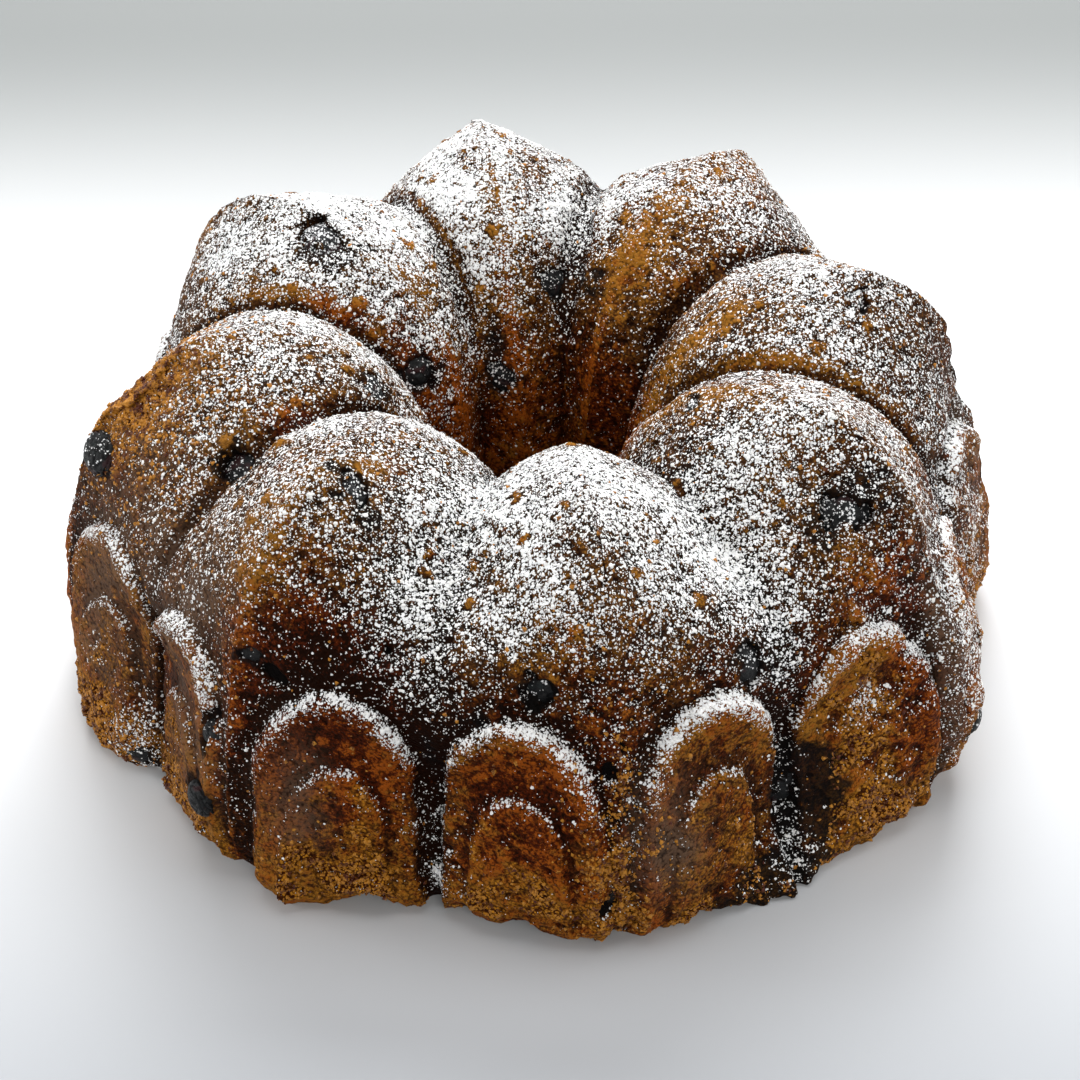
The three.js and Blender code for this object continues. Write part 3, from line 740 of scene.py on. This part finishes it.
brown = toast_and_shade_wire + (blotch - 0.5) * 0.6 + (grain - 0.5) * 1.9 + (fine - 0.5) * 0.8
colour = brown.step(-0.1, 0.5).blend(CRUST_DARK, redness.blend(CRUST_BROWN, CRUST_RED))
colour = brown.step(0.45, 1.0).blend(colour, redness.blend(CRUST_GOLD, CRUST_ORANGE))
# Painted sheen, in part: the crust is paler and greyer where this tint is high.
colour = (pale_sheen_wire * 0.9).blend(colour, CRUST_PALE_SHEEN)
open_crumb = (crumb_wire + (grain - 0.5) * 1.3).step(0.25, 0.8)
colour = open_crumb.blend(colour, CRUMB_YELLOW)
# The pits in the open crumb are dark red-brown, partly its colour and partly painted shade.
pitted = (kernel + (fine - 0.5) * 0.5 + (blotch - 0.5) * 0.5).step(0.26, 0.5)
colour = (pitted * open_crumb * 0.95).blend(colour, CRUMB_PIT)
# Painted shade: the crust's small pores are painted dark, as the shade in them would make them.
shaded_pores = (kernel + (fine - 0.5) * 0.5).step(0.54, 0.8) * 0.7
colour = shaded_pores.blend(colour, CRUST_DARK)
stained = (stain_wire * 1.25 + (blotch - 0.5) * 1.2).step(0.35, 0.95)
# Painted shade: the crust between the sugar grains is darkened, as their shade would make it.
colour = sugar_shade_wire.blend(colour, SHADE_UNDER_SUGAR)
colour = (stained * 0.9).blend(colour, BERRY_STAIN)
sugar = sugar_over(wire, spot, dust_wire)
colour = sugar.blend(colour, SUGAR_WHITE)
height_wire = (1 - kernel) * 0.5 + grain * 0.4 + fine * 0.15 + sugar * 0.5
bump = wire.node("Bump", {}, {"Strength": 1.0, "Distance": 0.8 * MM, "Height": height_wire})
feed(shader, {"Base Color": colour, "Roughness": 0.6 + sugar * 0.35, "Normal": bump})


def crust_piece(name, points, normals, values, tints, strips):
    """One piece of crust from a block of columns and rows, unrolled flat in strips. Its
    values are dust, brownness with painted shade, crumb and stain, and its tints paleness
    with painted sheen, redness, painted shade under the sugar and a spare."""
    columns, rows = points.shape[:2]
    column, row = np.meshgrid(np.arange(columns - 1), np.arange(rows - 1), indexing="ij")
    column, row = column.ravel(), row.ravel()
    corners = [(0, 0), (0, 1), (1, 1), (1, 0)]
    faces = np.stack([(column + i) * rows + row + j for i, j in corners], axis=1)
    made = new_object(name, points.reshape(-1, 3), faces)
    mesh = made.data
    wide = (columns - 1) // strips
    strip = column // wide
    margin = 0.006
    used = 1 - 2 * margin
    unrolled = []
    for i, j in corners:
        along = (column + i - strip * wide) / wide
        upwards = (strip + margin + used * (row + j) / (rows - 1)) / strips
        unrolled.append(np.stack([margin + used * along, upwards], -1))
    layer = mesh.uv_layers.new(name="OFBake")
    layer.data.foreach_set("uv", np.stack(unrolled, axis=1).astype(np.float32).ravel())
    bake_and_shade = mesh.attributes.new("bake_and_shade", "FLOAT_COLOR", "POINT")
    bake_and_shade.data.foreach_set("color", values.reshape(-1, 4).astype(np.float32).ravel())
    tint = mesh.attributes.new("tint", "FLOAT_COLOR", "POINT")
    tint.data.foreach_set("color", tints.reshape(-1, 4).astype(np.float32).ravel())
    mesh.normals_split_custom_set_from_vertices(normals.reshape(-1, 3).tolist())
    mesh.materials.append(crust_paint)
    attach(made, "root")
    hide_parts("cake")


def hollow_of(points, reach):
    """How far the surface lies below its surroundings, reach cells away on each side."""
    around = sum(np.roll(points, k, axis=0) for k in (-reach, reach))
    padded = np.pad(points, ((0, 0), (reach, reach), (0, 0)), mode="edge")
    around = around + padded[:, :-2 * reach] + padded[:, 2 * reach:]
    return np.sum((around / 4 - points) * outward, axis=-1)


# Painted shade: hollows are painted darker than what stands out, by how deep they lie.
HOLLOW_SHADE_DEPTH = 0.8 * MM
outward = outward_of(skin)
hollow_shade = hollow_of(skin, 3) + hollow_of(skin, 9) * 0.5
toast_and_shade = np.clip(toast_and_shade - np.clip(hollow_shade / HOLLOW_SHADE_DEPTH, -0.2, 0.35), -0.3, 1.1)
values = np.stack([dust, toast_and_shade, crumb, stain], axis=-1)
# Painted shade under the sugar, most where it lies thickest and less on the arches.
sugar_shade = np.clip(1.6 * dust - 0.15, 0, 1) * by_lobe(SHADE_UNDER_DUST) * (1 - 0.8 * on_arch)
tints = np.stack([pale_sheen, red, sugar_shade, sugar_shade], axis=-1)
first_rows = np.cumsum([0] + [rows for _, _, rows in BANDS])
half = COLUMNS // 2
BACK_START = 5 * COLUMNS // 16
for side, start in (("back", BACK_START), ("front", BACK_START + half)):
    columns = np.arange(start, start + half + 1) % COLUMNS
    for part, band in (("crown", 1), ("wall", 2)):
        rows = np.arange(first_rows[band], first_rows[band + 1] + 1)
        block = np.ix_(columns, rows)
        piece = skin[block], outward[block], values[block], tints[block]
        crust_piece(f"crust_{part}_{side}", *piece, 2)
columns = np.arange(0, COLUMNS + 2, 2) % COLUMNS
block = np.ix_(columns, np.arange(first_rows[1] + 1))
crust_piece("crust_hole", skin[block], outward[block], values[block], tints[block], 2)

# THE UNDERSIDE. It was the open top of the batter in the tin, and rose and browned there. It
# is a flat ring that joins the hole's foot to the outer foot, slightly hollow and finely pitted.
RINGS = 60
inner_foot, outer_foot = skin[columns, 0], skin[columns, -1]
inwards = np.linspace(0, 1, RINGS + 1)[None, :, None]
base = outer_foot[:, None] * (1 - inwards) + inner_foot[:, None] * inwards
inwards = inwards[..., 0]
rise = np.sin(np.pi * inwards) * (1.2 * MM + 0.5 * MM * mottle(base, 12 * MM, 101, 2))
rise += (0.5 * MM * pits(base, 4 * MM, 0.4, 102)) * np.minimum(1, 8 * inwards * (1 - inwards))
base[..., 2] = np.maximum(base[..., 2] + rise, 0)
none = np.zeros(base.shape[:2])
base_toast = 0.55 + 0.3 * mottle(base, 15 * MM, 103, 2)
base_crumb = 0.25 + 0.3 * mottle(base, 6 * MM, 104, 2)
base_values = np.clip(np.stack([none, base_toast, base_crumb, none], axis=-1), 0, 1)
# A third of each tint lies evenly on it, the painted sheen and the painted shade too.
base_tints = np.full(base.shape[:2] + (4,), 0.3)
crust_piece("crust_base", base, outward_of(base), base_values, base_tints, 4)

# THE BLUEBERRIES. Each is a whole berry, baked until its skin wrinkled and sank a little, with
# a five-pointed crown at one end. The skin is blue-black with a grey bloom, and some are dusted.
BERRY_SKIN = srgb(6, 7, 9)
BERRY_BLOOM = srgb(24, 30, 31)
BERRY_RED = srgb(42, 14, 16)

berry_paint, shader, wire = new_material("berry_skin", {"Specular IOR Level": 0.3})
spot = wire.node("TexCoord", out=3)
berry_dust = wire.node("Attribute", {"attribute_name": "dust"}, out=2)
bloom = wire.noise(spot, 2.6 * MM, 3.0, 0.65)
colour = bloom.step(0.52, 0.66).blend(BERRY_SKIN, BERRY_BLOOM)
colour = wire.noise(spot, 4.0 * MM, 1.0).step(0.6, 0.7).blend(colour, BERRY_RED)
sugar = sugar_over(wire, spot, berry_dust)
colour = sugar.blend(colour, SUGAR_WHITE)
wrinkle = wire.noise(spot, 0.9 * MM, 3.0, 0.6, 0.6)
bump = wire.node("Bump", {}, {"Strength": 0.8, "Distance": 0.7 * MM, "Height": wrinkle + sugar * 0.5})
feed(shader, {"Base Color": colour, "Roughness": 0.42 + bloom * 0.2 + sugar * 0.3, "Normal": bump})


def flattened(points, axis):
    """Points around a berry's centre, its outer side pressed flat by the tin."""
    out = points @ axis
    return points - ((1 - FLATNESS) * np.maximum(out, 0))[:, None] * axis


ball = bmesh.new()
bmesh.ops.create_icosphere(ball, subdivisions=5, radius=1.0)
ball_points = np.array([v.co[:] for v in ball.verts])
ball_faces = np.array([[v.index for v in f.verts] for f in ball.faces])
ball.free()
for index, (name, centre, size, axis) in enumerate(berries):
    draw = np.random.default_rng(500 + index)
    crown = axis * draw.uniform(-0.2, 0.7) + draw.normal(size=3) * 0.6
    crown = crown / np.linalg.norm(crown)
    beside = np.cross(crown, axis + [0.1, 0.2, 0.3])
    beside = beside / np.linalg.norm(beside)
    tilt = np.arccos(np.clip(ball_points @ crown, -1, 1))
    turn = np.arctan2(ball_points @ np.cross(crown, beside), ball_points @ beside)
    swell = 1 - 0.16 * np.exp(-(tilt / 0.26) ** 2)
    swell += 0.07 * np.exp(-((tilt - 0.36) / 0.08) ** 2) * (0.6 + 0.4 * np.cos(5 * turn))
    folds = np.abs(mottle(ball_points, 0.42, 200 + index, 2))
    swell += 0.05 - 0.14 * smooth(0.25, 0.0, folds) + 0.09 * mottle(ball_points, 0.9, 300 + index)
    points = ball_points * swell[:, None]
    points = flattened(points, axis)
    berry = new_object(f"blueberry_{name[-2:]}", centre + size * points, ball_faces)
    berry.data.materials.append(berry_paint)
    gap = np.linalg.norm(skin - centre - axis * size, axis=-1)
    column, row = np.unravel_index(np.argmin(gap), gap.shape)
    nearby = dust[column - 6:column + 7, row - 6:row + 7]
    dusted = np.clip(ball_points[:, 2] + 0.4, 0, 1) * float(np.quantile(nearby, 0.9)) * 1.5
    mark = berry.data.attributes.new("dust", "FLOAT", "POINT")
    mark.data.foreach_set("value", dusted.astype(np.float32))
    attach(berry, "root")
    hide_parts(name)

# THE ICING SUGAR. The powder caked into clumps and grains as it fell, which stand up from the
# crust. They lie where the dusting is, as three kinds by size, each one mesh of small lumps.
PEBBLE = (np.array([(1, 0, 0), (-1, 0, 0), (0, 1, 0), (0, -1, 0), (0, 0, 1), (0, 0, -1)], float),
          np.array([(0, 2, 4), (2, 1, 4), (1, 3, 4), (3, 0, 4),
                    (2, 0, 5), (1, 2, 5), (3, 1, 5), (0, 3, 5)]))
SHARD = (np.array([(1, 1, 1), (1, -1, -1), (-1, 1, -1), (-1, -1, 1)]) * 0.75,
         np.array([(0, 1, 2), (0, 3, 1), (0, 2, 3), (1, 3, 2)]))
ball = bmesh.new()
bmesh.ops.create_icosphere(ball, subdivisions=1, radius=1.0)
LUMP = (np.array([v.co[:] for v in ball.verts]),
        np.array([[v.index for v in f.verts] for f in ball.faces]))
ball.free()
# How jagged the lumps are, and how much more often small ones come than large ones.
JAGGED, MOSTLY_SMALL = 0.35, 2.2


def scatter(density, count, seed):
    """Random places on the crust, more where the density is high, with their normals."""
    draw = np.random.default_rng(seed)
    here, there = skin[:, :-1], np.roll(skin, -1, axis=0)
    area = np.linalg.norm(np.cross(there[:, :-1] - here, skin[:, 1:] - here), axis=-1)
    chance = np.cumsum((area * density[:, :-1]).ravel())
    cell = np.searchsorted(chance, draw.uniform(0, chance[-1], count))
    column, row = np.divmod(cell, area.shape[1])
    across, along = draw.uniform(size=(2, count, 1))
    following = (column + 1) % COLUMNS
    near_side = skin[column, row] * (1 - along) + skin[column, row + 1] * along
    far_side = skin[following, row] * (1 - along) + skin[following, row + 1] * along
    points = near_side * (1 - across) + far_side * across
    normals = outward[column, row]
    for _, centre, size, axis in berries:
        offset = points - centre
        span = np.linalg.norm(offset, axis=1)
        under = (span < size) & (offset @ axis > 0) & (bare[column, row] > 0.5)
        normals[under] = offset[under] / span[under, None]
        points[under] = centre + flattened(normals[under], axis) * size * 0.96
    return points, normals, draw


def lumps(name, shape, density, count, small, large, flat, sunk, seed):
    """A mesh of many jagged lumps of one kind that lie on the crust. Flat and sunk are shares
    of a lump's size: how thick it is, and how deep its middle lies."""
    corners, triangles = shape
    points, normals, draw = scatter(density, count, seed)
    size = small + (large - small) * draw.uniform(size=count) ** MOSTLY_SMALL
    bent = corners * (1 + JAGGED * draw.uniform(-1, 1, (count, len(corners), 1)))
    spin, _ = np.linalg.qr(draw.normal(size=(count, 3, 3)))
    bent = bent @ spin
    normals, size = normals[:, None], size[:, None, None]
    bent = bent - (1 - flat) * np.sum(bent * normals, axis=-1, keepdims=True) * normals
    solid = points[:, None] - normals * sunk * size + bent * size
    solid[..., 2] = np.maximum(solid[..., 2], 0.0)
    order = np.arange(count)[:, None, None] * len(corners) + triangles[None]
    return new_object(name, solid.reshape(-1, 3), order.reshape(-1, 3))


sugar_paint, shader, wire = new_material("icing_sugar", {"Specular IOR Level": 0.25, "Roughness": 0.9})
spot = wire.node("TexCoord", out=3)
shade = wire.noise(spot, 1.5 * MM, 2.0)
powder = wire.noise(spot, 0.2 * MM, 1.0)
colour = shade.step(0.3, 0.7).blend(srgb(246, 245, 242), srgb(254, 254, 254))
bump = wire.node("Bump", {}, {"Distance": 0.1 * MM, "Height": powder})
feed(shader, {"Base Color": colour, "Normal": bump})
for name, shape, power, count, small, large, flat, seed in (
        ("sugar_clumps", LUMP, 1.8, 9800, 0.25, 0.66, 0.6, 901),
        ("sugar_grains", SHARD, 0.9, 49000, 0.15, 0.36, 0.8, 902),
        ("sugar_specks", SHARD, 0.6, 49000, 0.1, 0.19, 0.9, 903)):
    made = lumps(name, shape, dust ** power, count, small * MM, large * MM, flat, 0.15, seed)
    made.data.materials.append(sugar_paint)
    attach(made, "root")

# THE CRUMBS. Bits of crust and crumb that broke off when the cake left its tin still cling to
# the torn ridge and the ragged foot. They are the crust's own material.
crumb_paint, shader, wire = new_material("loose_crumb", {"Specular IOR Level": 0.35, "Roughness": 0.5})
spot = wire.node("TexCoord", out=3)
patchy = wire.noise(spot, 2.0 * MM, 2.0)
grain = wire.noise(spot, 0.4 * MM, 2.0)
colour = (patchy + (grain - 0.5) * 0.6).step(0.34, 0.62).blend(CRUST_RED, CRUMB_YELLOW)
bump = wire.node("Bump", {}, {"Distance": 0.2 * MM, "Height": grain})
feed(shader, {"Base Color": colour, "Normal": bump})
clinging = smooth(0.25, 0.9, crumb) ** 1.5 + 0.012 * (place_of > 4)
clinging = clinging + 1.8 * torn_ridge + 2.8 * torn_shoulder
clinging = clinging * (1 - 0.9 * patch(0.42, 11, 0.18, 0.5)) * (1 - 0.8 * patch(0.57, 9.9, 0.08, 0.6))
made = lumps("crust_crumbs", PEBBLE, clinging, 19000, 0.32 * MM, 0.85 * MM, 0.85, 0.2, 904)
made.data.materials.append(crumb_paint)
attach(made, "root")
